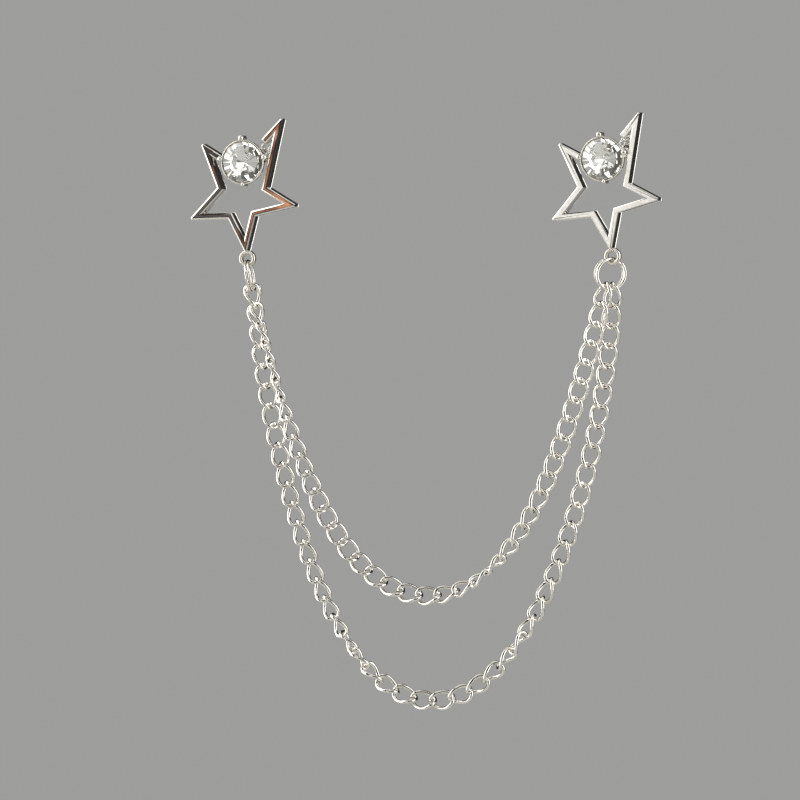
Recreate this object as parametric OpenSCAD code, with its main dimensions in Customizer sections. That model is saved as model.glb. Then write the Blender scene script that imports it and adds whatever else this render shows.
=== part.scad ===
/* [Stars] */
// Distance between the centres of the two stones
cup_spacing = 70.2; // [62:0.1:86]
// How much higher the right stone sits than the left one
right_rise = 0.2; // [-3:0.1:3]
// Turn of the right star about its stone, anticlockwise from the front
right_turn = 3.7; // [-8:0.1:8]
// Height that the star's outline is drawn to
star_span = 25.4; // [23:0.1:29]
// Width of the star's metal band, seen from the front
band_w = 1.25; // [0.9:0.05:1.4]
// Depth of the star's metal band, from back to front
band_depth = 2.2; // [1.8:0.1:2.8]
// Width of the slope round the front of the band
band_slope = 0.16; // [0.06:0.01:0.3]
// Width of the blunt end of each tip
tip_w = 0.5; // [0.2:0.05:0.8]
// Gap between the cup and the cut end of the upper right arm
arm_gap = 1.15; // [0.6:0.05:2]

/* [Setting] */
// Diameter of the stone
stone_d = 7.7; // [7:0.1:8.4]
// Width of the stone's flat table
table_d = 3.7; // [3:0.1:4.8]
// Height of the crown above the stone's girdle
crown_h = 1.1; // [0.8:0.05:1.4]
// Thickness of the girdle where the facets leave it thinnest
girdle_h = 0.08; // [0.05:0.01:0.2]
// Depth of the stone below its girdle
pavilion_h = 2.3; // [1.8:0.05:2.4]
// Clearance between the stone and its cup
seat_gap = 0.1; // [0.1:0.01:0.15]
// Thickness of the cup's rim
rim_w = 0.25; // [0.2:0.05:0.5]
// How far the rim stands above the girdle's lower edge
rim_lip = 0.35; // [0.25:0.05:0.5]
// Thickness of the cup's floor
floor_t = 0.4; // [0.3:0.05:0.8]
// Diameter of the cup at its back
cup_back_d = 6.8; // [5:0.1:7.4]
// Diameter of each prong
prong_d = 1; // [0.8:0.05:1.1]
// How far each prong's head stands above the rim
prong_rise = 0.15; // [0.1:0.05:0.4]
// Diameter of the solder runs between cup and arm
solder_d = 0.6; // [0.4:0.05:0.8]

/* [Post] */
// Diameter of the pin post
post_d = 1; // [0.8:0.05:1.2]
// Length of the pin post behind the star, without its point
post_l = 7; // [5:0.5:10]
// Length of the post's point
point_l = 1.2; // [0.8:0.1:2]

/* [Bail and rings] */
// Outer diameter of the bail below the star
bail_d = 3.28; // [3.1:0.02:3.6]
// Thickness of the bail, from its hole to its outside
bail_t = 0.76; // [0.6:0.02:0.8]
// Depth of the bail, from back to front
bail_depth = 1.16; // [1:0.02:1.3]
// Outer diameter of the split rings
ring_d = 6.2; // [6:0.05:7]
// Wire diameter of the split rings
ring_wire = 0.5; // [0.4:0.02:0.54]
// Open space between the turns of the left ring
left_spread = 0.12; // [0.1:0.02:0.3]
// Open space between the turns of the right ring, which is sprung apart
right_spread = 0.6; // [0.4:0.05:0.7]
// Angle from the star's face to the left ring, seen from above
left_yaw = 100; // [90:1:110]
// Angle from the star's face to the right ring, seen from above
right_yaw = 41; // [39:1:50]
// Inward lean of both rings
ring_lean = 9.5; // [4:0.5:14]
// Clearance between a ring and the bottom of its bail
bail_gap = 0.2; // [0.17:0.01:0.23]

/* [Chain] */
// Links in the upper strand
upper_links = 39; // [33:1:43]
// Links in the lower strand
lower_links = 48; // [45:1:56]
// Length of a link
link_l = 5.25; // [5:0.05:5.8]
// Width of a link
link_w = 3.8; // [3.6:0.05:4.2]
// Wire diameter of a link
link_wire = 0.68; // [0.5:0.01:0.7]
// Twist of a link from one end to the other
link_twist = 90; // [80:1:96]
// Play between neighbouring links of the upper strand
upper_play = 0.22; // [0.12:0.01:0.3]
// Play between neighbouring links of the lower strand
lower_play = 0.12; // [0.12:0.01:0.3]
// Clearance between an end link and its ring
hook_gap = 0.21; // [0.18:0.01:0.24]

/* [Hidden] */
ROUND = 96;
SMALL_ROUND = 32;
LUMP_SIDES = 7;

// The star's band runs along this line, as shares of star_span from the stone's centre.
// columns: across, up
STAR_LINE = [
    [-0.299, 0.098],    // upper left tip
    [-0.185, -0.193],   // left notch
    [-0.379, -0.400],   // lower left tip
    [-0.110, -0.394],   // lower left notch
    [0.009, -0.622],    // bottom tip
    [0.072, -0.380],    // lower right notch
    [0.358, -0.315],    // right tip
    [0.160, -0.197],    // right notch
    [0.266, 0.270],     // upper right tip
];
// columns: share of the band's depth, share of band_slope that the outline is drawn in
BAND_LEVELS = [[0, 0.6], [0.06, 0], [0.92, 0], [1, 1]];
// Places of the prongs round the stone, anticlockwise from the right
PRONG_ANGLES = [12, 93, 172, 272];
// Lumps of solder in the corner between cup and upper right arm
// columns: angle round the stone, share of solder_d, share of band_depth
SOLDER_LUMPS = [[2, 1.0, 0.55], [22, 1.25, 0.45], [33, 0.95, 0.62]];

// Turn of the links along each strand, seen from the side that faces front_turn.
// columns: share of the strand from its left end, degrees
UPPER_TURNS = [
    [0, -45], [0.026, -68], [0.053, -88], [0.132, -95], [0.184, -130],
    [0.237, -138], [0.289, -162], [0.316, -180], [0.447, -195], [0.5, -205],
    [0.553, -240], [0.579, -262], [0.632, -310], [0.684, -320], [0.789, -352],
    [0.868, -360], [0.974, -378], [1, -392],
];
LOWER_TURNS = [
    [0, -45], [0.043, -35], [0.085, -15], [0.128, 0], [0.17, 20],
    [0.213, 35], [0.34, 50], [0.404, 95], [0.447, 140], [0.511, 183],
    [0.574, 222], [0.617, 265], [0.638, 300], [0.66, 312], [0.745, 335],
    [0.787, 358], [0.851, 378], [0.915, 378], [0.957, 358], [1, 330],
];
// Where the strands hang close they push each other aside, most at a third of each flank.
// rows: left flank, right flank; columns: outward, back
UPPER_PUSH = [[-0.7, -0.4], [0, -1.2]];
LOWER_PUSH = [[0.6, 0.4], [1.3, 1.1]];
// Direction that the turns are seen from, round from straight ahead
front_turn = 18;
// Places on the rings where the strands hook, round from the lowest point to the ring's far side
upper_hook_left = -30;
lower_hook_left = 30;
upper_hook_right = -12;
lower_hook_right = 24;

FINE_STEPS = 240;
LINK_STEPS = 12;
LINK_SIDES = 6;
LINK_FULLNESS = 2.4;
RING_STEPS = 44;
RING_SIDES = 6;
// Half the angle at the ring's top over which the wire steps from one turn to the next
RING_STEP_ANGLE = 36;

// Depths are measured forward from the cloth behind the stars.
stone_r = stone_d / 2;
bore_r = stone_r + seat_gap;
cup_r = bore_r + rim_w;
girdle_low = floor_t + 1.5 * seat_gap + pavilion_h;
rim_depth = girdle_low + rim_lip;
prong_ring_r = cup_r + 0.3 * prong_d;
prong_foot = 0.3 * rim_depth;
prong_head = rim_depth + prong_rise;
mid_depth = band_depth / 2;
bail_r = (bail_d - bail_t) / 2;
ring_r = (ring_d - ring_wire) / 2;

function unit(v) = v / norm(v);
function right_of(v) = [v[1], -v[0]];
function turned(p, a) = [p[0] * cos(a) - p[1] * sin(a), p[0] * sin(a) + p[1] * cos(a)];
function flat(lists) = [for (part = lists) each part];
function last_of(list) = list[len(list) - 1];

// Side is -1 for the left star and 1 for the right one.
function cup_at(side) = [side * cup_spacing / 2, side * right_rise / 2];
function star_turn(side) = side > 0 ? right_turn : 0;
function placed(side, p) = cup_at(side) + turned(p, star_turn(side));

// The band's line starts at the prong on the left and ends short of the cup on the right.
line_start = prong_ring_r * [cos(PRONG_ANGLES[2]), sin(PRONG_ANGLES[2])];
upper_tip = last_of(STAR_LINE) * star_span;
line_end = unit(upper_tip) * (cup_r + arm_gap);
band_line = concat([line_start], [for (p = STAR_LINE) p * star_span], [line_end]);

// One corner of the band's edge, h to the right of its line. Sharp outer corners are cut blunt.
function corner(i, h, inset) =
    let (p = band_line[i],
         last = len(band_line) - 1,
         to = unit(band_line[min(i + 1, last)] - band_line[min(i, last - 1)]),
         from = unit(band_line[max(i, 1)] - band_line[max(i - 1, 0)]))
    i == 0 ? [p + right_of(to) * h + to * inset]
    : i == last ? [p + right_of(from) * h - from * inset]
    : let (n1 = right_of(from), n2 = right_of(to), out = unit(n1 + n2), s = n1 * out, c = from * out)
      h > 0 && c > 0.5
      ? let (reach = band_w / 2 / s - tip_w / 2 * c / s - inset, along = (reach - h * s) / c)
        [p + n1 * h + from * along, p + n2 * h - to * along]
      : [p + out * h / s];

function band_outline(inset) =
    let (h = band_w / 2 - inset, last = len(band_line) - 1)
    concat(flat([for (i = [0:last]) corner(i, h, inset)]),
           flat([for (i = [last:-1:0]) corner(i, -h, inset)]));

// Every second corner of the line is a tip, whose outer corner is two points.
function outer_index(i) = i + floor(i / 2);
function inner_index(i) = 2 * len(band_line) + floor(len(band_line) / 2) - 1 - i;
function cap_faces() =
    [for (i = [0:len(band_line) - 2])
        let (a = outer_index(i), b = a + i % 2, c = outer_index(i + 1),
             d = inner_index(i + 1), e = inner_index(i))
        each concat(i % 2 == 1 ? [[a, b, e]] : [], [[b, c, d], [b, d, e]])];
function wall_faces(n, rows) =
    [for (row = [0:rows - 2], i = [0:n - 1])
        let (a = row * n + i, b = row * n + (i + 1) % n)
        each [[a, b + n, b], [a, a + n, b + n]]];

module band() {
    outlines = [for (level = BAND_LEVELS) band_outline(level[1] * band_slope)];
    n = len(outlines[0]);
    rows = len(BAND_LEVELS);
    points = [for (row = [0:rows - 1]) for (p = outlines[row])
        [p[0], -band_depth * BAND_LEVELS[row][0], p[1]]];
    faces = concat(cap_faces(),
                   wall_faces(n, rows),
                   [for (f = cap_faces()) [for (i = [2:-1:0]) (rows - 1) * n + f[i]]]);
    polyhedron(points, faces, convexity = 8);
}

// The cup's outside widens from its back to this depth, and is straight from there.
cup_flare = 0.75 * rim_depth;
function wall_r(depth) = cup_back_d / 2 + (cup_r - cup_back_d / 2) * min(1, depth / cup_flare);

module cup() {
    seat_drop = girdle_low - seat_gap / 2;
    rotate([90, 0, 0])
        rotate_extrude($fn = ROUND)
            polygon([[0, 0], [cup_back_d / 2, 0], [cup_r, cup_flare], [cup_r, rim_depth],
                     [bore_r, rim_depth], [bore_r, seat_drop], [0, floor_t]]);
}

module prong(angle) {
    rotate([0, -angle, 0])
        translate([prong_ring_r, 0, 0])
            rotate([90, 0, 0]) {
                translate([0, 0, prong_foot])
                    cylinder(d = prong_d, h = prong_head - prong_foot, $fn = SMALL_ROUND);
                translate([0, 0, prong_head])
                    sphere(d = prong_d, $fn = SMALL_ROUND);
            }
}

// A straight run of solder at half the band's depth, from the cup's wall out along an angle.
module solder_run(angle, to) {
    from = wall_r(mid_depth) - solder_d / 2;
    translate([0, -mid_depth, 0])
        rotate([0, 90 - angle, 0])
            translate([0, 0, from])
                cylinder(d = solder_d, h = to - from, $fn = SMALL_ROUND);
}

// Distance from the stone's centre, along an angle, to the long side of the upper right arm
function arm_distance(angle) =
    let (a = STAR_LINE[7] * star_span, d = upper_tip - a, n = unit(right_of(d)))
    (a * n) / ([cos(angle), sin(angle)] * n);

module solder() {
    arm_angle = atan2(upper_tip[1], upper_tip[0]);
    solder_run(PRONG_ANGLES[0], arm_distance(PRONG_ANGLES[0]));
    solder_run(arm_angle, cup_r + arm_gap + solder_d);
    for (lump = SOLDER_LUMPS) {
        depth = lump[2] * band_depth;
        rotate([0, -lump[0], 0])
            translate([wall_r(depth), -depth, 0])
                rotate([90, 0, 0])
                    cylinder(d = lump[1] * solder_d, h = solder_d, center = true, $fn = LUMP_SIDES);
    }
}

module post() {
    post_r = post_d / 2;
    rotate([-90, 0, 0])
        rotate_extrude($fn = SMALL_ROUND)
            polygon([
                [0, -floor_t / 2],
                [post_r, -floor_t / 2],
                [post_r, post_l],
                [post_r / 5, post_l + point_l],
                [0, post_l + point_l]
            ]);
}

// The bail hangs from the bottom tip, sunk a little into it.
bottom_corner = corner(5, band_w / 2, 0);
bail_centre = (bottom_corner[0] + bottom_corner[1]) / 2 - [0, bail_r - 0.1 * bail_t];

module bail() {
    straight = bail_depth - bail_t;
    translate([bail_centre[0], -mid_depth, bail_centre[1]])
        rotate([90, 0, 0])
            rotate_extrude($fn = ROUND)
                translate([bail_r, 0]) {
                    for (end = [-1, 1])
                        translate([0, end * straight / 2])
                            circle(d = bail_t, $fn = SMALL_ROUND);
                    square([bail_t, straight], center = true);
                }
}

module star(side) {
    at = cup_at(side);
    color(side > 0 ? "gainsboro" : "rosybrown")
        translate([at[0], 0, at[1]])
            rotate([0, -star_turn(side), 0]) {
                band();
                cup();
                for (angle = PRONG_ANGLES)
                    prong(angle);
                solder();
                post();
                bail();
            }
}

// The stone is cut with a table and eight broad facets above, and sixteen narrow ones below.
module stone(side) {
    table_r = table_d / 2;
    // The broad facets cut this far into the girdle, midway between the table's corners
    dip = crown_h * stone_r * (1 - cos(22.5)) / (stone_r - table_r) / cos(22.5);
    girdle_top = girdle_low + girdle_h + dip;
    table = [for (i = [0:7]) [table_r, 45 * i, girdle_top + crown_h]];
    girdle_high = [for (i = [0:15]) [stone_r, 22.5 * i, girdle_top - dip * (i % 2)]];
    girdle_deep = [for (i = [0:15]) [stone_r, 22.5 * i, girdle_low]];
    culet = [[0, 0, girdle_low - pavilion_h]];
    polar = concat(table, girdle_high, girdle_deep, culet);
    points = [for (p = polar) [p[0] * cos(p[1]), -p[2], -p[0] * sin(p[1])]];
    faces = concat(
        [[for (i = [0:7]) i]],
        [for (i = [0:7]) [i, 8 + 2 * i, 9 + 2 * i, 8 + (2 * i + 2) % 16, (i + 1) % 8]],
        [for (i = [0:15]) [8 + i, 24 + i, 24 + (i + 1) % 16, 8 + (i + 1) % 16]],
        [for (i = [0:15]) [24 + i, 40, 24 + (i + 1) % 16]]);
    at = cup_at(side);
    color("azure")
        translate([at[0], 0, at[1]])
            rotate([0, -star_turn(side), 0])
                polyhedron(points, faces);
}

// Each ring hangs in its bail: a wire of nearly two turns, with one step at the top.
function ring_yaw(side) = side > 0 ? right_yaw : left_yaw;
function ring_spread(side) = side > 0 ? right_spread : left_spread;
function leaned(side, v) =
    let (a = -side * ring_lean) [v[0] * cos(a) - v[2] * sin(a), v[1], v[0] * sin(a) + v[2] * cos(a)];
function ring_up(side) = leaned(side, [0, 0, 1]);
function ring_across(side) = leaned(side, [cos(ring_yaw(side)), sin(ring_yaw(side)), 0]);
function ring_centre(side) =
    let (at = placed(side, bail_centre), drop = bail_r - bail_t / 2 - ring_wire / 2 - bail_gap)
    [at[0], -mid_depth, at[1] - drop] - ring_r * ring_up(side);
function eased(t) = let (u = min(max(t, 0), 1)) u * u * (3 - 2 * u);

module split_ring(side) {
    up = ring_up(side);
    across = ring_across(side);
    normal = cross(across, up);
    pitch = ring_wire + ring_spread(side);
    centre = ring_centre(side);
    line = [for (i = [0:RING_STEPS - 1])
        let (a = RING_STEP_ANGLE + i * (720 - 2 * RING_STEP_ANGLE) / (RING_STEPS - 1),
             step = eased((a - 360 + RING_STEP_ANGLE) / (2 * RING_STEP_ANGLE)))
        centre + ring_r * (cos(a) * up + sin(a) * across) + side * pitch * (0.5 - step) * normal];
    color("silver")
        wire_tube(line, centre, ring_wire / 2, RING_SIDES);
}

// An open tube round a line of points. Its section is turned to face away from the centre.
module wire_tube(line, centre, r, sides) {
    last = len(line) - 1;
    points = [for (i = [0:last])
        let (t = unit(line[min(i + 1, last)] - line[max(i - 1, 0)]))
        each section(line[i], t, line[i] - centre, r, sides)];
    faces = concat([[for (j = [sides - 1:-1:0]) j]],
                   [for (row = [0:last - 1], j = [0:sides - 1])
                       let (a = row * sides + j, b = row * sides + (j + 1) % sides)
                       each [[a, b, b + sides], [a, b + sides, a + sides]]],
                   [[for (j = [0:sides - 1]) last * sides + j]]);
    polyhedron(points, faces, convexity = 4);
}

function section(p, t, away, r, sides) =
    let (e1 = unit(away - (away * t) * t), e2 = cross(e1, t))
    [for (j = [0:sides - 1]) let (b = 360 * j / sides) p + r * (cos(b) * e1 + sin(b) * e2)];

// Each strand hangs as a chain does, in the upright plane through its two hooks.
function sinh(x) = (exp(x) - exp(-x)) / 2;
function cosh(x) = (exp(x) + exp(-x)) / 2;
function asinh(x) = ln(x + sqrt(x * x + 1));
function sag_number(ratio, low, high, steps) =
    let (mid = (low + high) / 2)
    steps == 0 ? mid
    : sinh(mid) / mid < ratio ? sag_number(ratio, mid, high, steps - 1)
    : sag_number(ratio, low, mid, steps - 1);

function link_pitch(play) = link_l - 2 * link_wire - play;
// How far a link's end curves down beside the ring's two wires that it holds
function end_drop(side) =
    let (reach = ring_spread(side) / 2 + 0.9 * ring_wire, share = 2 * reach / (link_w - link_wire))
    (link_l - link_wire) / 2 * (1 - pow(1 - pow(share, LINK_FULLNESS), 1 / LINK_FULLNESS));
function hook(side, angle, play) =
    let (lift = (link_wire + ring_wire) / 2 + hook_gap + end_drop(side)
             - (link_l - link_wire - link_pitch(play)) / 2)
    ring_centre(side) + (ring_r - lift) * (sin(angle) * ring_across(side) - cos(angle) * ring_up(side));

function pushed(push, share) =
    let (flank = share < 0.5 ? 0 : 1, t = flank == 0 ? 2 * share : 2 - 2 * share,
         amount = 27 / 4 * t * (1 - t) * (1 - t))
    amount * [(2 * flank - 1) * push[flank][0], push[flank][1], 0];

// The hanging line as many fine steps of equal length, before its links are set along it.
function hanging_line(start, end, length, push) =
    let (flat_run = [end[0] - start[0], end[1] - start[1], 0],
         run = norm(flat_run),
         rise = end[2] - start[2],
         number = sag_number(sqrt(length * length - rise * rise) / run, 0.01, 12, 50),
         a = run / (2 * number),
         first = a * ln((length + rise) / (length - rise)) / 2 - run / 2)
    [for (i = [0:FINE_STEPS])
        let (x = a * asinh(sinh(first / a) + i / FINE_STEPS * length / a))
        start + flat_run * (x - first) / run
            + [0, 0, a * (cosh(x / a) - cosh(first / a))] + pushed(push, i / FINE_STEPS)];
function distances(line) =
    [for (i = 0, sum = 0; i < len(line);
          i = i + 1, sum = i < len(line) ? sum + norm(line[i] - line[i - 1]) : sum) sum];

// The push makes the line a little longer, so its hanging length is corrected a few times.
function fitted_line(start, end, length, push, guess, tries) =
    let (line = hanging_line(start, end, guess, push))
    tries == 0 ? line
    : fitted_line(start, end, length, push, guess + length - last_of(distances(line)), tries - 1);

function strand_points(start, end, count, play, push) =
    let (length = count * link_pitch(play),
         line = fitted_line(start, end, length, push, length, 3),
         along = distances(line),
         tables = [for (axis = [0:2]) [for (i = [0:FINE_STEPS]) [along[i], line[i][axis]]]])
    [for (i = [0:count])
        let (s = i * last_of(along) / count)
        [for (axis = [0:2]) lookup(s, tables[axis])]];

// A link's outline reaches its full length and width in the middles of its end and side faces.
function rounded(c) = sign(c) * pow(abs(c) / cos(180 / LINK_STEPS), 2 / LINK_FULLNESS);

// The centre line of one link between two points of its strand, turned by an angle.
function link_line(a, b, turn) =
    let (along = unit(b - a),
         front = [sin(front_turn), -cos(front_turn), 0],
         side = unit(cross(along, front)),
         face = cross(side, along))
    [for (i = [0:LINK_STEPS - 1])
        let (angle = 360 * (i + 0.5) / LINK_STEPS,
             s = rounded(cos(angle)) / 2,
             w = (link_w - link_wire) / 2 * rounded(sin(angle)),
             twist = turn - link_twist * s)
        (a + b) / 2 + (link_l - link_wire) * s * along
            + w * (cos(twist) * side - sin(twist) * face)];

module strand(start, end, count, play, push, turns) {
    joints = strand_points(start, end, count, play, push);
    lines = [for (k = [0:count - 1])
        link_line(joints[k], joints[k + 1], lookup(k / (count - 1), turns))];
    points = [for (k = [0:count - 1]) for (i = [0:LINK_STEPS - 1])
        let (centre = (joints[k] + joints[k + 1]) / 2,
             t = unit(lines[k][(i + 1) % LINK_STEPS] - lines[k][(i + LINK_STEPS - 1) % LINK_STEPS]))
        each section(lines[k][i], t, lines[k][i] - centre, link_wire / 2, LINK_SIDES)];
    per_link = LINK_STEPS * LINK_SIDES;
    faces = [for (k = [0:count - 1], i = [0:LINK_STEPS - 1], j = [0:LINK_SIDES - 1])
        let (a = k * per_link + i * LINK_SIDES,
             b = k * per_link + (i + 1) % LINK_STEPS * LINK_SIDES,
             next = (j + 1) % LINK_SIDES)
        each [[a + j, a + next, b + next], [a + j, b + next, b + j]]];
    polyhedron(points, faces, convexity = 20);
}

module chain_upper() {
    color("silver")
        strand(hook(-1, upper_hook_left, upper_play), hook(1, upper_hook_right, upper_play),
               upper_links, upper_play, UPPER_PUSH, UPPER_TURNS);
}

module chain_lower() {
    color("silver")
        strand(hook(-1, lower_hook_left, lower_play), hook(1, lower_hook_right, lower_play),
               lower_links, lower_play, LOWER_PUSH, LOWER_TURNS);
}

star(-1);  // star_left
star(1);  // star_right
stone(-1);  // stone_left
stone(1);  // stone_right
split_ring(-1);  // split_ring_left
split_ring(1);  // split_ring_right
chain_upper();
chain_lower();
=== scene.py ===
import math

import bmesh
import bpy
import numpy as np
from mathutils import Matrix, Vector


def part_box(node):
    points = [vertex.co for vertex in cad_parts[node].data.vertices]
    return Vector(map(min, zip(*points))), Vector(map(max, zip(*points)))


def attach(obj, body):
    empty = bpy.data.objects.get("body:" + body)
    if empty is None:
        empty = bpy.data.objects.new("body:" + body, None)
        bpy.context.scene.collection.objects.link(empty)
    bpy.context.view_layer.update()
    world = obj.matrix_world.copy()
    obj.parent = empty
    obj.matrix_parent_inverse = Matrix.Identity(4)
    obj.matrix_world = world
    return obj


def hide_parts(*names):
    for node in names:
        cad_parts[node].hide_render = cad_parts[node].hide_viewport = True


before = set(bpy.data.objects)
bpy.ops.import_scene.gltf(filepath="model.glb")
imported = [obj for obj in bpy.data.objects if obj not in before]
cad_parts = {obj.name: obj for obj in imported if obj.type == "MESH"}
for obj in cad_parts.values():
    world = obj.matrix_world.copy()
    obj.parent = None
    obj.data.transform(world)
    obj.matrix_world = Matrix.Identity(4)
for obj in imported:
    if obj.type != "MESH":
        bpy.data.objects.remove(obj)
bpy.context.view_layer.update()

MM = 0.001
SIDES = {"left": -1, "right": 1}

# Sizes in millimetres and angles in degrees, as the part's source has them or works them out
STAR_SPAN = 25.4
BAND_W = 1.25
BAND_DEPTH = 2.2
TIP_W = 0.5
ARM_GAP = 1.15
STAR_TURN = {"left": 0.0, "right": 3.7}
STONE_R = 3.85
TABLE_R = 1.85
CROWN_H = 1.1
GIRDLE_LOW = 2.85
GIRDLE_H = 0.08
PAVILION_H = 2.3
CUP_R = 4.2
BORE_R = 3.95
CUP_BACK_R = 3.4
RIM_DEPTH = 3.2
SEAT_DEPTH = 2.8
FLOOR_T = 0.4
PRONG_RING_R = 4.5
POST_R = 0.5
POST_L = 7.0
POINT_L = 1.2
BAIL_R = 1.26
BAIL_T = 0.76
BAIL_DEPTH = 1.16
BAIL_GAP = 0.2
RING_R = 2.85
RING_WIRE = 0.5
RING_SPREAD = {"left": 0.12, "right": 0.6}
RING_YAW = {"left": 100, "right": 41}
RING_LEAN = 9.5
RING_STEP_ANGLE = 36
LINK_L = 5.25
LINK_W = 3.8
LINK_WIRE = 0.68
LINK_TWIST = 90
LINK_FULLNESS = 2.4

# Sizes of the finer shapes that are made here alone, in millimetres
WALL = 0.07
BEVEL = {"left": 0.24, "right": 0.15}
BORDER = 0.47
SOLDER_GRAIN = 0.07
RIPPLE_DEPTH = 0.02
# The bevel's depth as a share of its width
BEVEL_STEEPNESS = 0.7

# Steps round the turned shapes, the wires and their lines
CUP_STEPS = 128
PRONG_STEPS = 28
POST_STEPS = 40
BAIL_STEPS = 72
BAIL_EDGE_STEPS = 20
RING_STEPS = 200
LINK_STEPS = 56
LINK_WIRE_SIDES = 12
RING_WIRE_SIDES = 14

# The star's line as shares of its span from the stone's centre: across, up
STAR_LINE = [(-0.299, 0.098), (-0.185, -0.193), (-0.379, -0.400), (-0.110, -0.394),
             (0.009, -0.622), (0.072, -0.380), (0.358, -0.315), (0.160, -0.197), (0.266, 0.270)]
PRONG_ANGLES = (12, 93, 172, 272)
# How large each of these prongs is, as a share of the common one
PRONG_SHARES = (1.0, 1.1, 1.0, 0.75)
# Lumps of solder on the cup's wall: angle, radius
SOLDER_LUMPS = ((2, 0.6), (22, 0.75), (33, 0.57))


# ---------- Star outline ----------

def unit(v):
    return v / np.linalg.norm(v)


def right_of(v):
    """The direction square to v, on its right."""
    return np.array([v[1], -v[0]])


def at_angle(radius, degrees):
    return radius * np.array([math.cos(math.radians(degrees)), math.sin(math.radians(degrees))])


UPPER_TIP = np.array(STAR_LINE[-1]) * STAR_SPAN
BAND_LINE = ([at_angle(PRONG_RING_R, PRONG_ANGLES[2])] + [np.array(p) * STAR_SPAN for p in STAR_LINE]
             + [unit(UPPER_TIP) * (CUP_R + ARM_GAP)])
LAST = len(BAND_LINE) - 1


def corner(i, h, inset):
    """One corner of the band's edge, h to the right of its line. Sharp outer corners are cut blunt."""
    p = BAND_LINE[i]
    ahead = unit(BAND_LINE[min(i + 1, LAST)] - BAND_LINE[min(i, LAST - 1)])
    behind = unit(BAND_LINE[max(i, 1)] - BAND_LINE[max(i - 1, 0)])
    if i == 0:
        return [p + right_of(ahead) * h + ahead * inset]
    if i == LAST:
        return [p + right_of(behind) * h - behind * inset]
    n1, n2 = right_of(behind), right_of(ahead)
    out = unit(n1 + n2)
    s, c = n1 @ out, behind @ out
    if h > 0 and c > 0.5:
        reach = BAND_W / 2 / s - TIP_W / 2 * c / s - inset
        along = (reach - h * s) / c
        return [p + n1 * h + behind * along, p + n2 * h - ahead * along]
    return [p + out * h / s]


def band_outline(inset):
    """The band's edge all round, drawn in by the inset: its outer side, then its inner side back again."""
    h = BAND_W / 2 - inset
    outer = [q for i in range(LAST + 1) for q in corner(i, h, inset)]
    inner = [q for i in range(LAST, -1, -1) for q in corner(i, -h, inset)]
    return outer + inner


def cap_faces(count):
    """The band's flat front or back as pieces between its outer and its inner edge."""
    faces = []
    for i in range(LAST):
        a = i + i // 2
        b = a + i % 2
        c = (i + 1) + (i + 1) // 2
        d, e = count - 2 - i, count - 1 - i
        faces.append([b, c, d, e] if a == b else [a, b, c, d, e])
    return faces


# ---------- Meshes ----------

def stand_up(side, points):
    """Points across, up and forward of a stone's centre, in millimetres, as places in the frame."""
    low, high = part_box("stone_" + side)
    turn = math.radians(STAR_TURN[side])
    p = np.array(points, float) * MM
    across = p[:, 0] * math.cos(turn) - p[:, 1] * math.sin(turn)
    up = p[:, 0] * math.sin(turn) + p[:, 1] * math.cos(turn)
    return np.stack([(low.x + high.x) / 2 + across, -p[:, 2], (low.z + high.z) / 2 + up], 1)


def make_piece(name, points, faces, materials, flat=(), face_materials=None, replaces=None):
    """A closed mesh on the part's body. Faces named in flat aren't smoothed."""
    mesh = bpy.data.meshes.new(name)
    mesh.from_pydata([tuple(p) for p in points], [], faces)
    for material in materials:
        mesh.materials.append(material)
    mesh.polygons.foreach_set("use_smooth", [i not in flat for i in range(len(faces))])
    if face_materials:
        mesh.polygons.foreach_set("material_index", face_materials)
    bm = bmesh.new()
    bm.from_mesh(mesh)
    bmesh.ops.recalc_face_normals(bm, faces=bm.faces)
    bm.to_mesh(mesh)
    bm.free()
    piece = bpy.data.objects.new(name, mesh)
    bpy.context.scene.collection.objects.link(piece)
    declare(piece, replaces)
    return piece


def declare(piece, replaces):
    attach(piece, "root")
    if replaces:
        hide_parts(replaces)


def lathe(profile, steps):
    """A closed turned shape from (radius, height) pairs, whose first and last radius may be 0."""
    points, rows = [], []
    for r, h in profile:
        if r == 0:
            rows.append([len(points)] * steps)
            points.append((0, 0, h))
            continue
        rows.append(list(range(len(points), len(points) + steps)))
        points += [(r * math.cos(2 * math.pi * j / steps), r * math.sin(2 * math.pi * j / steps), h)
                   for j in range(steps)]
    faces = []
    for low, high in zip(rows, rows[1:]):
        for j in range(steps):
            k = (j + 1) % steps
            faces.append(list(dict.fromkeys([low[j], low[k], high[k], high[j]])))
    return np.array(points, float), [f for f in faces if len(f) > 2]


def closed_lathe(profile, steps):
    """A ring turned from a closed outline of (radius, height) pairs."""
    n = len(profile)
    points = [(r * math.cos(2 * math.pi * j / steps), r * math.sin(2 * math.pi * j / steps), h)
              for j in range(steps) for r, h in profile]
    faces = [[j * n + i, (j + 1) % steps * n + i, (j + 1) % steps * n + (i + 1) % n, j * n + (i + 1) % n]
             for j in range(steps) for i in range(n)]
    return np.array(points, float), faces


def arc(centre, radius, first, last, steps):
    """Points along an arc, from one angle to another."""
    return [(centre[0] + radius * math.cos(math.radians(a)), centre[1] + radius * math.sin(math.radians(a)))
            for a in np.linspace(first, last, steps)]


# ---------- Materials ----------

def new_material(name):
    material = bpy.data.materials.new(name)
    material.use_nodes = True
    nodes = material.node_tree.nodes
    return material, nodes, material.node_tree.links, nodes["Principled BSDF"]


def put(tree, kind, **settings):
    node = tree.nodes.new(kind)
    for key, value in settings.items():
        setattr(node, key, value)
    return node


def noise(tree, place, scale, detail=3.0, distortion=0.0):
    node = put(tree, "ShaderNodeTexNoise")
    tree.links.new(place, node.inputs["Vector"])
    node.inputs["Scale"].default_value = scale
    node.inputs["Detail"].default_value = detail
    node.inputs["Distortion"].default_value = distortion
    return node


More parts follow.
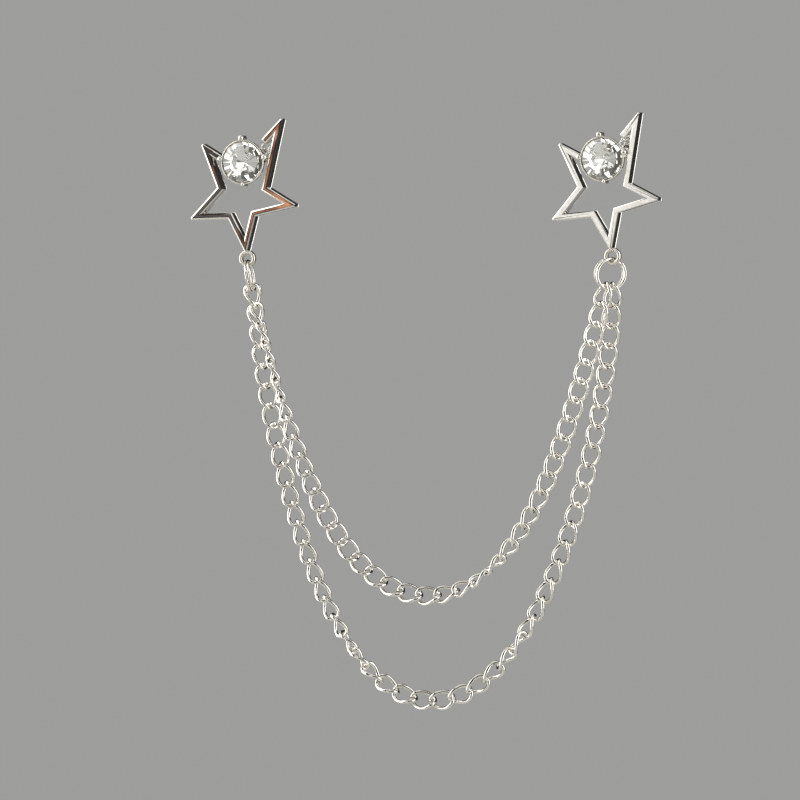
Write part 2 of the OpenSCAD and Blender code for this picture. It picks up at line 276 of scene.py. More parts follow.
def spread(tree, value, low, high, to_low=0.0, to_high=1.0):
    """A value between low and high, brought to the range from to_low to to_high."""
    node = put(tree, "ShaderNodeMapRange")
    tree.links.new(value, node.inputs["Value"])
    for key, number in (("From Min", low), ("From Max", high), ("To Min", to_low), ("To Max", to_high)):
        node.inputs[key].default_value = number
    return node.outputs["Result"]


def build_plating_group():
    """Thin plating over a casting: cloudy tarnish, faint ripples and fine handling marks. With the near-black
    tarnish of the left star's face, the clouds are painted dark reflection.
    """
    tree = bpy.data.node_groups.new("plating", "ShaderNodeTree")
    face = tree.interface
    for name, kind, value in (("Metal", "NodeSocketColor", (0.9, 0.87, 0.8, 1)),
                              ("Tarnish", "NodeSocketColor", (0.5, 0.4, 0.3, 1)),
                              ("Tarnish Share", "NodeSocketFloat", 0.3),
                              ("Cloud Scale", "NodeSocketFloat", 300.0),
                              ("Smooth", "NodeSocketFloat", 0.08),
                              ("Dull", "NodeSocketFloat", 0.25)):
        face.new_socket(name, in_out="INPUT", socket_type=kind).default_value = value
    for name, kind in (("Color", "NodeSocketColor"), ("Roughness", "NodeSocketFloat"),
                       ("Height", "NodeSocketFloat")):
        face.new_socket(name, in_out="OUTPUT", socket_type=kind)
    given = put(tree, "NodeGroupInput").outputs
    out = put(tree, "NodeGroupOutput").inputs
    place = put(tree, "ShaderNodeTexCoord").outputs["Object"]
    clouds = noise(tree, place, 300, 4.0, 0.6)
    tree.links.new(given["Cloud Scale"], clouds.inputs["Scale"])
    share = put(tree, "ShaderNodeMath", operation="MULTIPLY")
    tree.links.new(spread(tree, clouds.outputs["Fac"], 0.42, 0.68), share.inputs[0])
    tree.links.new(given["Tarnish Share"], share.inputs[1])
    mix = put(tree, "ShaderNodeMix", data_type="RGBA")
    tree.links.new(share.outputs[0], mix.inputs["Factor"])
    tree.links.new(given["Metal"], mix.inputs["A"])
    tree.links.new(given["Tarnish"], mix.inputs["B"])
    tree.links.new(mix.outputs["Result"], out["Color"])
    marks = noise(tree, place, 1500, 5.0)
    rough = put(tree, "ShaderNodeMapRange")
    tree.links.new(marks.outputs["Fac"], rough.inputs["Value"])
    rough.inputs["From Min"].default_value = 0.3
    rough.inputs["From Max"].default_value = 0.75
    tree.links.new(given["Smooth"], rough.inputs["To Min"])
    tree.links.new(given["Dull"], rough.inputs["To Max"])
    tree.links.new(rough.outputs["Result"], out["Roughness"])
    ripples = noise(tree, place, 420, 2.0)
    tree.links.new(ripples.outputs["Fac"], out["Height"])
    return tree


PLATING = build_plating_group()


def trap_light(material, glow):
    """A faint painted glow standing in for light caught between the facets, which never gets out in the few
    turns that a render follows.
    """
    shader = material.node_tree.nodes["Principled BSDF"]
    shader.inputs["Emission Color"].default_value = (0.93, 0.9, 0.8, 1)
    shader.inputs["Emission Strength"].default_value = glow
    return material


def painted_reflection_patch(tree, colour, centre, reach, reflected_colour):
    """A painted reflection colour laid over the colour round one place, with a ragged edge."""
    place = put(tree, "ShaderNodeTexCoord").outputs["Object"]
    ragged = noise(tree, place, 260, 3.0)
    away = put(tree, "ShaderNodeVectorMath", operation="DISTANCE")
    tree.links.new(place, away.inputs[0])
    away.inputs[1].default_value = [c * MM for c in centre]
    edge = put(tree, "ShaderNodeMath", operation="MULTIPLY_ADD")
    tree.links.new(ragged.outputs["Fac"], edge.inputs[0])
    edge.inputs[1].default_value = 3 * MM
    tree.links.new(away.outputs["Value"], edge.inputs[2])
    mix = put(tree, "ShaderNodeMix", data_type="RGBA")
    near = spread(tree, edge.outputs[0], (reach + 2.2) * MM, (reach + 0.8) * MM)
    tree.links.new(near, mix.inputs["Factor"])
    tree.links.new(colour, mix.inputs["A"])
    mix.inputs["B"].default_value = (*reflected_colour, 1)
    return mix.outputs["Result"]


def plated(name, metal, tarnish, share, cloud_scale, smooth, dull, ripple, patches=()):
    """Plated metal. Each patch is a place and a reach in millimetres, and the painted reflection colour
    there.
    """
    material, nodes, links, shader = new_material(name)
    group = nodes.new("ShaderNodeGroup")
    group.node_tree = PLATING
    group.inputs["Metal"].default_value = (*metal, 1)
    group.inputs["Tarnish"].default_value = (*tarnish, 1)
    group.inputs["Tarnish Share"].default_value = share
    group.inputs["Cloud Scale"].default_value = cloud_scale
    group.inputs["Smooth"].default_value = smooth
    group.inputs["Dull"].default_value = dull
    shader.inputs["Metallic"].default_value = 1.0
    colour = group.outputs["Color"]
    for centre, reach, reflected_colour in patches:
        colour = painted_reflection_patch(material.node_tree, colour, centre, reach, reflected_colour)
    links.new(colour, shader.inputs["Base Color"])
    links.new(group.outputs["Roughness"], shader.inputs["Roughness"])
    bump = nodes.new("ShaderNodeBump")
    bump.inputs["Strength"].default_value = ripple
    bump.inputs["Distance"].default_value = RIPPLE_DEPTH * MM
    links.new(group.outputs["Height"], bump.inputs["Height"])
    links.new(bump.outputs["Normal"], shader.inputs["Normal"])
    return material


def stone_glass():
    material, nodes, links, shader = new_material("stone glass")
    shader.inputs["Transmission Weight"].default_value = 1.0
    shader.inputs["Metallic"].default_value = 0.0
    shader.inputs["IOR"].default_value = 1.33
    place = nodes.new("ShaderNodeTexCoord").outputs["Object"]
    smears = noise(material.node_tree, place, 900, 4.0)
    dull = spread(material.node_tree, smears.outputs["Fac"], 0.35, 0.8, 0.0, 0.03)
    links.new(dull, shader.inputs["Roughness"])
    shader.inputs["Base Color"].default_value = (0.97, 0.98, 0.96, 1)
    return material


# Patches of painted reflection on the left star's face: place, reach, colour
DARK_REFLECTION_ARMS = [
    ((-44.7, -2.2, -10.3), 8.5, (0.11, 0.105, 0.1)),
    ((-41.8, -2.2, 1.8), 3.2, (0.07, 0.06, 0.055)),
]
COPPER_REFLECTION_ARMS = [
    ((-27.0, -2.2, -6.2), 2.5, (0.66, 0.32, 0.18)),
    ((-28.3, -2.2, 4.9), 0.9, (0.68, 0.37, 0.27)),
]

# Plated metals: name, metal, tarnish, its share, cloud scale, least and most roughness, ripple, patches. On
# the left star's face and border, the metal, tarnish and patch colours are painted reflection.
MATERIALS = {
    "edges": plated("bright plating", (0.95, 0.92, 0.86), (0.7, 0.62, 0.5), 0.25, 260, 0.05, 0.16, 0.35),
    # The left star is plated like the right one. Its copper and near-black face tones are painted reflection
    # of warm and dark surroundings.
    "left": plated("plating with painted copper reflection", (0.41, 0.19, 0.102), (0.06, 0.035, 0.03), 0.95, 230,
                   0.1, 0.28, 0.6, DARK_REFLECTION_ARMS + COPPER_REFLECTION_ARMS),
    "left border": plated("border with painted dark reflection", (0.07, 0.04, 0.03), (0.02, 0.015, 0.013), 0.8, 300, 0.12, 0.3, 0.4,
                          COPPER_REFLECTION_ARMS),
    "right": plated("ivory-toned plating", (0.95, 0.92, 0.86), (0.88, 0.82, 0.74), 0.35, 150, 0.2, 0.3, 0.25),
    "right border": plated("ivory border", (0.93, 0.9, 0.84), (0.84, 0.78, 0.7), 0.35, 150, 0.2, 0.3, 0.25),
    "setting": plated("setting plating", (0.95, 0.9, 0.8), (0.6, 0.5, 0.36), 0.3, 380, 0.06, 0.2, 0.4),
    "prongs": plated("prong plating", (0.97, 0.94, 0.87), (0.8, 0.72, 0.6), 0.3, 500, 0.25, 0.42, 0.3),
    "solder": plated("solder", (0.98, 0.97, 0.93), (0.2, 0.16, 0.12), 0.6, 900, 0.12, 0.3, 0.6),
    "wire": plated("chain plating", (0.96, 0.93, 0.86), (0.66, 0.58, 0.46), 0.3, 420, 0.03, 0.12, 0.4),
    "foil": trap_light(plated("stone foil", (0.97, 0.97, 0.96), (0.82, 0.8, 0.74), 0.4, 500,
                              0.02, 0.06, 0.0), 0.05),
    "glass": stone_glass(),
}


# ---------- Trees for wires and links ----------

class WorkTree:
    """A Geometry Nodes tree with named inputs, run on an object and turned into its plain mesh."""

    def __init__(self, name, inputs):
        self.tree = bpy.data.node_groups.new(name, "GeometryNodeTree")
        face = self.tree.interface
        face.new_socket("Geometry", in_out="INPUT", socket_type="NodeSocketGeometry")
        for label, kind, value in inputs:
            socket = face.new_socket(label, in_out="INPUT", socket_type=kind)
            if value is not None:
                socket.default_value = value
        face.new_socket("Geometry", in_out="OUTPUT", socket_type="NodeSocketGeometry")
        self.given = put(self.tree, "NodeGroupInput").outputs
        self.out = put(self.tree, "NodeGroupOutput").inputs[0]

    def node(self, kind, inputs=None, **settings):
        node = put(self.tree, kind, **settings)
        for key, value in (inputs or {}).items():
            self.feed(node.inputs[key], value)
        return node

    def feed(self, socket, value):
        if isinstance(value, bpy.types.NodeSocket):
            self.tree.links.new(value, socket)
        else:
            socket.default_value = value

    def calc(self, operation, a, b=0.0):
        return self.node("ShaderNodeMath", {0: a, 1: b}, operation=operation).outputs[0]

    def finish(self, geometry):
        whole = self.node("GeometryNodeRealizeInstances", {"Geometry": geometry})
        painted = self.node("GeometryNodeSetMaterial", {"Geometry": whole.outputs[0],
                                                        "Material": self.given["Material"]})
        self.tree.links.new(painted.outputs[0], self.out)

    def run_on(self, piece, values):
        modifier = piece.modifiers.new(self.tree.name, "NODES")
        modifier.node_group = self.tree
        for item in self.tree.interface.items_tree:
            if item.in_out == "INPUT" and item.name in values:
                modifier[item.identifier] = values[item.name]
        piece.update_tag()
        seen = piece.evaluated_get(bpy.context.evaluated_depsgraph_get())
        made = bpy.data.meshes.new_from_object(seen)
        piece.modifiers.clear()
        piece.data = made


def build_link_tree():
    """Twisted oval links of round wire, one at each point, turned by the point's link_turn."""
    w = WorkTree("twisted_links", [
        ("Length", "NodeSocketFloat", LINK_L * MM),
        ("Width", "NodeSocketFloat", LINK_W * MM),
        ("Wire", "NodeSocketFloat", LINK_WIRE * MM),
        ("Twist", "NodeSocketFloat", math.radians(LINK_TWIST)),
        ("Fullness", "NodeSocketFloat", LINK_FULLNESS),
        ("Steps", "NodeSocketInt", LINK_STEPS),
        ("Wire Sides", "NodeSocketInt", LINK_WIRE_SIDES),
        ("Material", "NodeSocketMaterial", None)])
    given = w.given
    loop = w.node("GeometryNodeCurvePrimitiveCircle", {"Resolution": given["Steps"], "Radius": 1.0})
    place = w.node("ShaderNodeSeparateXYZ", {0: w.node("GeometryNodeInputPosition").outputs[0]})
    power = w.calc("DIVIDE", 2.0, given["Fullness"])

    def rounded(value):
        size = w.calc("POWER", w.calc("ABSOLUTE", value), power)
        return w.calc("MULTIPLY", w.calc("SIGN", value), size)

    along, across = rounded(place.outputs["X"]), rounded(place.outputs["Y"])
    half_l = w.calc("DIVIDE", w.calc("SUBTRACT", given["Length"], given["Wire"]), 2.0)
    half_w = w.calc("DIVIDE", w.calc("SUBTRACT", given["Width"], given["Wire"]), 2.0)
    twist = w.calc("MULTIPLY", w.calc("MULTIPLY", given["Twist"], along), -0.5)
    reach = w.calc("MULTIPLY", across, half_w)
    spot = w.node("ShaderNodeCombineXYZ", {
        "X": w.calc("MULTIPLY", along, half_l),
        "Y": w.calc("MULTIPLY", reach, w.calc("COSINE", twist)),
        "Z": w.calc("MULTIPLY", reach, w.calc("SINE", twist))})
    shaped = w.node("GeometryNodeSetPosition",
                    {"Geometry": loop.outputs["Curve"], "Position": spot.outputs[0]})
    even = w.node("GeometryNodeResampleCurve", {"Curve": shaped.outputs[0], "Count": given["Steps"]})
    section = w.node("GeometryNodeCurvePrimitiveCircle",
                     {"Resolution": given["Wire Sides"], "Radius": w.calc("DIVIDE", given["Wire"], 2.0)})
    wire = w.node("GeometryNodeCurveToMesh",
                  {"Curve": even.outputs[0], "Profile Curve": section.outputs["Curve"]})
    smooth = w.node("GeometryNodeSetShadeSmooth", {"Geometry": wire.outputs[0], "Shade Smooth": True})
    turn = w.node("GeometryNodeInputNamedAttribute", {"Name": "link_turn"}, data_type="QUATERNION")
    chain = w.node("GeometryNodeInstanceOnPoints", {
        "Points": given["Geometry"],
        "Instance": smooth.outputs[0],
        "Rotation": turn.outputs["Attribute"]})
    w.finish(chain.outputs[0])
    return w


def build_wire_tree():
    """A round wire along a line of points, as thick at each point as its wire_share says."""
    w = WorkTree("bent_wire", [
        ("Wire", "NodeSocketFloat", RING_WIRE * MM),
        ("Wire Sides", "NodeSocketInt", RING_WIRE_SIDES),
        ("Material", "NodeSocketMaterial", None)])
    line = w.node("GeometryNodeMeshToCurve", {"Mesh": w.given["Geometry"]})
    share = w.node("GeometryNodeInputNamedAttribute", {"Name": "wire_share"}, data_type="FLOAT")
    section = w.node("GeometryNodeCurvePrimitiveCircle",
                     {"Resolution": w.given["Wire Sides"], "Radius": w.calc("DIVIDE", w.given["Wire"], 2.0)})
    wire = w.node("GeometryNodeCurveToMesh", {
        "Curve": line.outputs[0],
        "Profile Curve": section.outputs["Curve"],
        "Scale": share.outputs["Attribute"],
        "Fill Caps": True})
    smooth = w.node("GeometryNodeSetShadeSmooth", {"Geometry": wire.outputs[0], "Shade Smooth": True})
    w.finish(smooth.outputs[0])
    return w


LINKS = build_link_tree()
WIRE = build_wire_tree()


# ---------- Stars ----------

def make_band(side):
    """The band: a fine flange at the back, straight walls, a bevel, and a border round its flat face."""
    bevel = BEVEL[side]
    wall_end = BAND_DEPTH - BEVEL_STEEPNESS * bevel
    # Height above the cloth and how far the outline is drawn in there
    levels = [(0.0, 0.04), (0.04, 0.0), (0.13, 0.0), (0.23, WALL), (0.27, WALL)]
    levels += [(wall_end - 0.04, WALL), (wall_end, WALL), (BAND_DEPTH - 0.01, WALL + bevel)]
    levels += [(BAND_DEPTH, WALL + bevel + 0.03), (BAND_DEPTH, BORDER)]
    rows = [band_outline(inset) for depth, inset in levels]
    n = len(rows[0])
    points = [(p[0], p[1], depth) for row, (depth, inset) in zip(rows, levels) for p in row]
    faces = [[r * n + i, r * n + (i + 1) % n, (r + 1) * n + (i + 1) % n, (r + 1) * n + i]
             for r in range(len(levels) - 1) for i in range(n)]
    walls, sides = len(faces) - n, len(faces)
    front = [[(len(levels) - 1) * n + i for i in f] for f in cap_faces(n)]
    back = [f[::-1] for f in cap_faces(n)]
    faces += front + back
    looks = [0] * walls + [2] * (sides - walls) + [1] * len(front) + [0] * len(back)
    flat = set(range(walls, len(faces)))
    # For the left star, the face and border materials carry painted reflection. For the right star they are
    # its plain plating.
    materials = [MATERIALS["edges"], MATERIALS[side], MATERIALS[side + " border"]]
    piece = make_piece("star_band_" + side, stand_up(side, points), faces, materials,
                       flat, looks, "star_" + side)
    piece.data.set_sharp_from_angle(angle=math.radians(28))
    # The call above smooths every face, so the flat ones are set flat once more
    piece.data.polygons.foreach_set("use_smooth", [i not in flat for i in range(len(faces))])


def make_cup(side):
    """The cup that holds the stone, with a rolled rim and a raised line round its wall."""
    rim_r = (CUP_R - BORE_R) / 2
    rim = arc((BORE_R + rim_r, RIM_DEPTH - rim_r), rim_r, 0, 180, 9)
    profile = ([(0, 0), (CUP_BACK_R - 0.15, 0)] + arc((CUP_BACK_R - 0.15, 0.15), 0.15, -60, -10, 4)
               + [(CUP_R - 0.06, 2.3), (CUP_R - 0.02, 2.45), (CUP_R - 0.06, 2.6), (CUP_R, 2.75)] + rim
               + [(BORE_R, SEAT_DEPTH), (0, FLOOR_T)])
    points, faces = lathe(profile, CUP_STEPS)
    piece = make_piece("stone_cup_" + side, stand_up(side, points), faces, [MATERIALS["setting"]],
                       replaces="star_" + side)
    piece.data.set_sharp_from_angle(angle=math.radians(40))


def make_prongs(side):
    """Four prongs with round heads, each nodding a little toward the stone."""
    profile = [(0, 0.96), (0.36, 0.98), (0.42, 1.1), (0.36, 2.2), (0.32, 2.8), (0.4, 2.92)]
    profile += arc((0, 3.34), 0.51, -45, 85, 12) + [(0, 3.85)]
    shape, one = lathe(profile, PRONG_STEPS)
    points, faces = [], []
    for angle, share in zip(PRONG_ANGLES, PRONG_SHARES):
        centre = at_angle(PRONG_RING_R - 0.9 * (1 - share), angle)
        lean = -unit(centre)
        base = len(points)
        for p in shape:
            nod = 0.1 * max(0.0, (p[2] - 2.6) / 1.2)
            points.append((centre[0] + p[0] * share + lean[0] * nod,
                           centre[1] + p[1] * share + lean[1] * nod, p[2]))
        faces += [[base + i for i in f] for f in one]
    make_piece("prongs_" + side, stand_up(side, points), faces, [MATERIALS["prongs"]],
               replaces="star_" + side)


def make_post(side):
    """The pin post with a foot, a groove for a pin back and a point."""
    tip = POST_L + POINT_L
    profile = ([(0, -0.2), (POST_R + 0.35, -0.2), (POST_R + 0.35, 0.02), (POST_R + 0.1, 0.07), (POST_R, 0.2)]
               + [(POST_R, 4.6), (POST_R - 0.1, 4.72), (POST_R - 0.1, 5.1), (POST_R, 5.22), (POST_R, POST_L)]
               + [(0.36, POST_L + 0.4), (0.2, POST_L + 0.9), (0.09, tip - 0.04), (0, tip)])
    points, faces = lathe(profile, POST_STEPS)
    points[:, 2] *= -1
    make_piece("post_" + side, stand_up(side, points), faces, [MATERIALS["edges"]],
               replaces="star_" + side)


BOTTOM = sum(corner(5, BAND_W / 2, 0)) / 2
BAIL_CENTRE = BOTTOM - np.array([0, BAIL_R - 0.1 * BAIL_T])


def make_bail(side):
    """The ring-shaped bail under the bottom tip, its section between round and square."""
    half = BAIL_DEPTH / 2
    outline = []
    for a in np.linspace(0, 360, BAIL_EDGE_STEPS, endpoint=False):
        c, s = math.cos(math.radians(a)), math.sin(math.radians(a))
        outline.append((BAIL_R + BAIL_T / 2 * math.copysign(abs(c) ** 0.8, c),
                        half * math.copysign(abs(s) ** 0.8, s)))
    points, faces = closed_lathe(outline, BAIL_STEPS)
    points += np.array([BAIL_CENTRE[0], BAIL_CENTRE[1], BAND_DEPTH / 2])
    make_piece("bail_" + side, stand_up(side, points), faces, [MATERIALS["setting"]],
               replaces="star_" + side)


def make_solder(side):
    """Solder strung in threads and beads between the cup and the upper right arm."""
    rng = np.random.default_rng(7 if side == "left" else 12)
    ball = bpy.data.metaballs.new("solder")
    ball.resolution = ball.render_resolution = SOLDER_GRAIN
    ball.threshold = 0.35

    def blob(across, up, forward, radius):
        element = ball.elements.new()
        element.co = (across, up, forward)
        element.radius = radius

    def thread(a, b, thick, wander, count):
        a, b = np.array(a, float), np.array(b, float)
        for t in np.linspace(0, 1, count):
            p = a + (b - a) * t + rng.normal(0, wander, 3) * math.sin(math.pi * t)
            blob(*p, thick * rng.uniform(0.8, 1.3))

    limb = unit(UPPER_TIP) * (CUP_R + ARM_GAP + 0.3)
    arm = unit(UPPER_TIP - BAND_LINE[8])
    arm_in = BAND_LINE[8] + right_of(arm) * -BAND_W / 2
    prong = at_angle(PRONG_RING_R, PRONG_ANGLES[0])
    thread((*at_angle(CUP_R, 40), 1.2), (*limb, 1.3), 0.3, 0.08, 12)
    reach = (prong - arm_in) @ arm
    thread((*prong, 1.2), (*(arm_in + arm * reach), 1.2), 0.45, 0.05, 9)
    threads = 5 if side == "left" else 11
    for k in range(threads):
        start = at_angle(CUP_R - 0.05, rng.uniform(-2, 40))
        end = arm_in + arm * (reach + rng.uniform(-0.6, 3.4))
        thread((*start, rng.uniform(1.0, 2.2)), (*end, rng.uniform(0.8, 1.9)),
               rng.uniform(0.24, 0.33), 0.22, 14)
    if side == "left":
        thread((4.95, 2.8, 1.4), (4.65, 1.7, 1.6), 0.34, 0.05, 6)
        thread((5.3, 1.3, 1.5), (4.4, 0.7, 1.8), 0.38, 0.05, 6)
    else:
        thread((*at_angle(CUP_R, 38), 1.9), (*corner(9, -BAND_W / 2, 0)[0], 1.5), 0.32, 0.04, 16)
    for angle, size in SOLDER_LUMPS:
        blob(*at_angle(CUP_R, angle), 1.3, size)
    lump = bpy.data.objects.new("solder_" + side, ball)
    bpy.context.scene.collection.objects.link(lump)
    seen = lump.evaluated_get(bpy.context.evaluated_depsgraph_get())
    mesh = bpy.data.meshes.new_from_object(seen)
    points = np.array([v.co for v in mesh.vertices])
    faces = [list(p.vertices) for p in mesh.polygons]
    bpy.data.objects.remove(lump)
    make_piece("solder_" + side, stand_up(side, points), faces, [MATERIALS["solder"]],
               replaces="star_" + side)


# ---------- Stones, rings and strands ----------

def make_stone(side):
    """A stone with a table and eight broad facets above, sixteen narrow ones below, and foil behind."""
    flat = math.cos(math.radians(22.5))
    dip = CROWN_H / (STONE_R - TABLE_R) / flat * STONE_R * (1 - flat)
    low, high = GIRDLE_LOW, GIRDLE_LOW + GIRDLE_H + dip
    polar = [(TABLE_R, 45 * i, high + CROWN_H) for i in range(8)]
    polar += [(STONE_R, 22.5 * i, high - dip * (i % 2)) for i in range(16)]
    polar += [(STONE_R, 22.5 * i, low) for i in range(16)] + [(0, 0, low - PAVILION_H)]
    points = [(*at_angle(r, a), h) for r, a, h in polar]
    front = [list(range(8))]
    front += [[i, *(8 + (2 * i + k) % 16 for k in range(3)), (i + 1) % 8] for i in range(8)]
    back = [[8 + i, 24 + i, 24 + (i + 1) % 16, 8 + (i + 1) % 16] for i in range(16)]
    back += [[24 + i, 40, 24 + (i + 1) % 16] for i in range(16)]
    faces = front + back
    looks = [0] * len(front) + [1] * len(back)
    materials = [MATERIALS["glass"], MATERIALS["foil"]]
    make_piece("cut_stone_" + side, stand_up(side, points), faces, materials,
               range(len(faces)), looks, "stone_" + side)


def ring_line(side, steps):
    """The wire's line of nearly two turns, with one step at the top, in millimetres."""
    sign, lean, yaw = SIDES[side], math.radians(-SIDES[side] * RING_LEAN), math.radians(RING_YAW[side])

    def leaned(v):
        return np.array([v[0] * math.cos(lean) - v[2] * math.sin(lean), v[1],
                         v[0] * math.sin(lean) + v[2] * math.cos(lean)])

    up, across = leaned((0, 0, 1)), leaned((math.cos(yaw), math.sin(yaw), 0))
    normal = np.cross(across, up)
    drop = BAIL_R - BAIL_T / 2 - RING_WIRE / 2 - BAIL_GAP
    hole = stand_up(side, [(*BAIL_CENTRE, BAND_DEPTH / 2)])[0] / MM
    centre = hole - np.array([0, 0, drop]) - RING_R * up
    line = []
    for a in np.linspace(RING_STEP_ANGLE, 720 - RING_STEP_ANGLE, steps):
        u = min(max((a - 360 + RING_STEP_ANGLE) / (2 * RING_STEP_ANGLE), 0), 1)
        offset = sign * (RING_WIRE + RING_SPREAD[side]) * (0.5 - u * u * (3 - 2 * u))
        c, s = math.cos(math.radians(a)), math.sin(math.radians(a))
        line.append(centre + RING_R * (c * up + s * across) + offset * normal)
    return np.array(line)


def line_piece(name, line, shares):
    """A line of points, each with its share of the wire's thickness."""
    mesh = bpy.data.meshes.new(name)
    mesh.from_pydata([tuple(p) for p in line], [(i, i + 1) for i in range(len(line) - 1)], [])
    attribute = mesh.attributes.new("wire_share", "FLOAT", "POINT")
    attribute.data.foreach_set("value", np.array(shares, np.float32))
    piece = bpy.data.objects.new(name, mesh)
    bpy.context.scene.collection.objects.link(piece)
    return piece


def make_split_ring(side):
    """A split ring, thinner at its two ends."""
    line = ring_line(side, RING_STEPS) * MM
    shares = np.ones(len(line))
    shares[0] = shares[-1] = 0.8
    piece = line_piece("ring_" + side, line, shares)
    WIRE.run_on(piece, {"Wire": RING_WIRE * MM, "Material": MATERIALS["wire"]})
    declare(piece, "split_ring_" + side)
    piece.data.set_sharp_from_angle(angle=math.radians(50))


def link_places(node):
    """Centre and turn of each link of a strand: its length is its own X, its width at the middle its Y."""
    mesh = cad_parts[node].data
    co = np.array([v.co for v in mesh.vertices])
    keys, back = np.unique(np.round(co / MM, 3), axis=0, return_inverse=True)
    back = back.reshape(-1)
    group = list(range(len(keys)))

    def root_of(i):
        while group[i] != i:
            group[i] = group[group[i]]
            i = group[i]
        return i

    for polygon in mesh.polygons:
        first = root_of(back[polygon.vertices[0]])
        for v in polygon.vertices[1:]:
            group[root_of(back[v])] = first
            first = root_of(first)
    parts = {}
    for i in range(len(keys)):
        parts.setdefault(root_of(i), []).append(keys[i])
    places = []
    for part in parts.values():
        part = np.array(part)
        centre = part.mean(0)
        values, axes = np.linalg.eigh(np.cov((part - centre).T))
        x, y = Vector(axes[:, 2]), Vector(axes[:, 1])
        turn = Matrix((x, y, x.cross(y))).transposed().to_quaternion()
        places.append((Vector(centre) * MM, turn))
    return places


def make_strand(name, node):
    """A strand: one finished link in the place of each of the part's links."""
    places = link_places(node)
    mesh = bpy.data.meshes.new(name)
    mesh.from_pydata([p for p, q in places], [], [])
    turns = mesh.attributes.new("link_turn", "QUATERNION", "POINT")
    turns.data.foreach_set("value", [c for p, q in places for c in q])
    piece = bpy.data.objects.new(name, mesh)
    bpy.context.scene.collection.objects.link(piece)
    LINKS.run_on(piece, {"Material": MATERIALS["wire"]})
    declare(piece, node)


# ---------- Studio ----------

# Angles in degrees: to the right of straight ahead, and up. Distances and the floor are in metres.
CAMERA_AZIMUTH, CAMERA_ELEVATION, CAMERA_DISTANCE = 17.6, 0.5, 1.6
# The lens in millimetres
CAMERA_LENS = 385.8
# The middle of the picture, across it and up, in millimetres from the origin
VIEW_ACROSS, VIEW_UP = -4.83, -44.62
TARGET = Vector((VIEW_ACROSS * MM * math.cos(math.radians(CAMERA_AZIMUTH)),
                 VIEW_ACROSS * MM * math.sin(math.radians(CAMERA_AZIMUTH)), VIEW_UP * MM))
FLOOR_HALF = 2.0
FLOOR_HEIGHT = -0.4
# Greys of the world: for camera and diffuse rays, for mirrored rays, and for rays through the stones
SEEN_GREY = (0.34, 0.34, 0.335, 1)
MIRRORED_GREY = (0.03, 0.03, 0.03, 1)
THROUGH_LEAST, THROUGH_MOST = 0.08, 1.1
# Lights: name, azimuth, elevation, distance, width, height, brightness
LIGHTS = (
    ("left softbox", -75, 16, 0.9, 0.9, 1.4, 2.3),
    ("right softbox", 88, 12, 0.9, 0.9, 1.3, 2.0),
    ("top softbox", 28, 58, 0.8, 0.7, 0.7, 0.8),
    ("rear softbox", -120, 62, 0.8, 0.8, 0.6, 1.0),
    ("front card", -17, 3, 0.85, 0.34, 0.45, 1.05),
)


def seen_from(azimuth, elevation, distance):
    """A place at a distance from the middle of the picture."""
    a, e = math.radians(azimuth), math.radians(elevation)
    return TARGET + distance * Vector((math.sin(a) * math.cos(e), -math.cos(a) * math.cos(e), math.sin(e)))


def make_camera():
    camera = bpy.data.objects.new("camera", bpy.data.cameras.new("camera"))
    bpy.context.scene.collection.objects.link(camera)
    camera.location = seen_from(CAMERA_AZIMUTH, CAMERA_ELEVATION, CAMERA_DISTANCE)
    camera.rotation_euler = (TARGET - camera.location).to_track_quat("-Z", "Y").to_euler()
    camera.data.lens = CAMERA_LENS
    camera.data.clip_start = 0.05
    bpy.context.scene.camera = camera


def softbox(name, azimuth, elevation, distance, width, height, brightness):
    """A white area light, as bright at each point of its face as its brightness says."""
    light = bpy.data.lights.new(name, "AREA")
    light.shape = "RECTANGLE"
    light.size, light.size_y = width, height
    light.energy = brightness * math.pi * width * height
    lamp = bpy.data.objects.new(name, light)
    bpy.context.scene.collection.objects.link(lamp)
    lamp.location = seen_from(azimuth, elevation, distance)
    lamp.rotation_euler = (TARGET - lamp.location).to_track_quat("-Z", "Y").to_euler()
    lamp.visible_camera = False


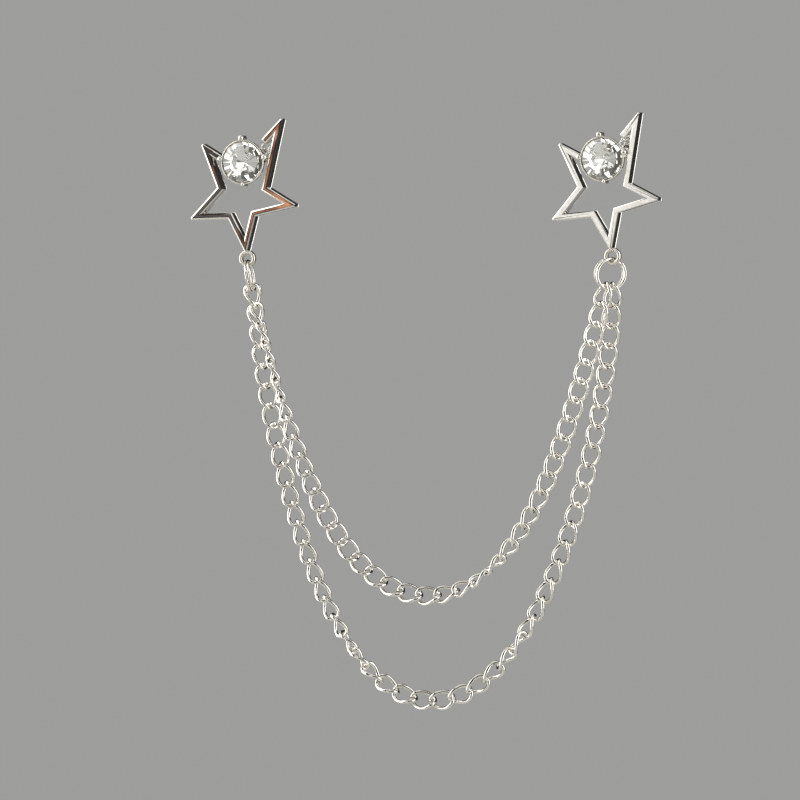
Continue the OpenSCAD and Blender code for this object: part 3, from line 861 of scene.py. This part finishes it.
def make_floor():
    bm = bmesh.new()
    bmesh.ops.create_grid(bm, x_segments=1, y_segments=1, size=FLOOR_HALF)
    mesh = bpy.data.meshes.new("floor")
    bm.to_mesh(mesh)
    bm.free()
    floor = bpy.data.objects.new("floor", mesh)
    bpy.context.scene.collection.objects.link(floor)
    floor.location.z = FLOOR_HEIGHT
    material, _, _, shader = new_material("pale floor")
    shader.inputs["Base Color"].default_value = (0.5, 0.5, 0.49, 1)
    shader.inputs["Roughness"].default_value = 0.8
    floor.data.materials.append(material)


def make_world():
    """Plain grey to the camera and in diffuse light, nearly dark in the metal, uneven through the stones."""
    world = bpy.data.worlds.new("studio")
    bpy.context.scene.world = world
    world.use_nodes = True
    nodes, links = world.node_tree.nodes, world.node_tree.links
    nodes.clear()
    seen, lit = nodes.new("ShaderNodeBackground"), nodes.new("ShaderNodeBackground")
    seen.inputs["Color"].default_value = SEEN_GREY
    lit.inputs["Color"].default_value = MIRRORED_GREY
    through = nodes.new("ShaderNodeBackground")
    around = put(world.node_tree, "ShaderNodeTexCoord").outputs["Generated"]
    patches = noise(world.node_tree, around, 1.6, 1.0)
    uneven = spread(world.node_tree, patches.outputs["Fac"], 0.36, 0.64, THROUGH_LEAST, THROUGH_MOST)
    links.new(uneven, through.inputs["Color"])
    path, out = nodes.new("ShaderNodeLightPath"), nodes.new("ShaderNodeOutputWorld")
    plain = put(world.node_tree, "ShaderNodeMath", operation="MAXIMUM")
    links.new(path.outputs["Is Camera Ray"], plain.inputs[0])
    links.new(path.outputs["Is Diffuse Ray"], plain.inputs[1])
    first, second = nodes.new("ShaderNodeMixShader"), nodes.new("ShaderNodeMixShader")
    links.new(path.outputs["Is Transmission Ray"], first.inputs[0])
    links.new(lit.outputs[0], first.inputs[1])
    links.new(through.outputs[0], first.inputs[2])
    links.new(plain.outputs[0], second.inputs[0])
    links.new(first.outputs[0], second.inputs[1])
    links.new(seen.outputs[0], second.inputs[2])
    links.new(second.outputs[0], out.inputs["Surface"])


make_camera()
make_floor()
make_world()
for light in LIGHTS:
    softbox(*light)
bpy.context.scene.view_settings.view_transform = "Standard"

for side in SIDES:
    make_band(side)
    make_cup(side)
    make_prongs(side)
    make_solder(side)
    make_bail(side)
    make_post(side)
    make_stone(side)
    make_split_ring(side)
make_strand("links_upper", "chain_upper")
make_strand("links_lower", "chain_lower")
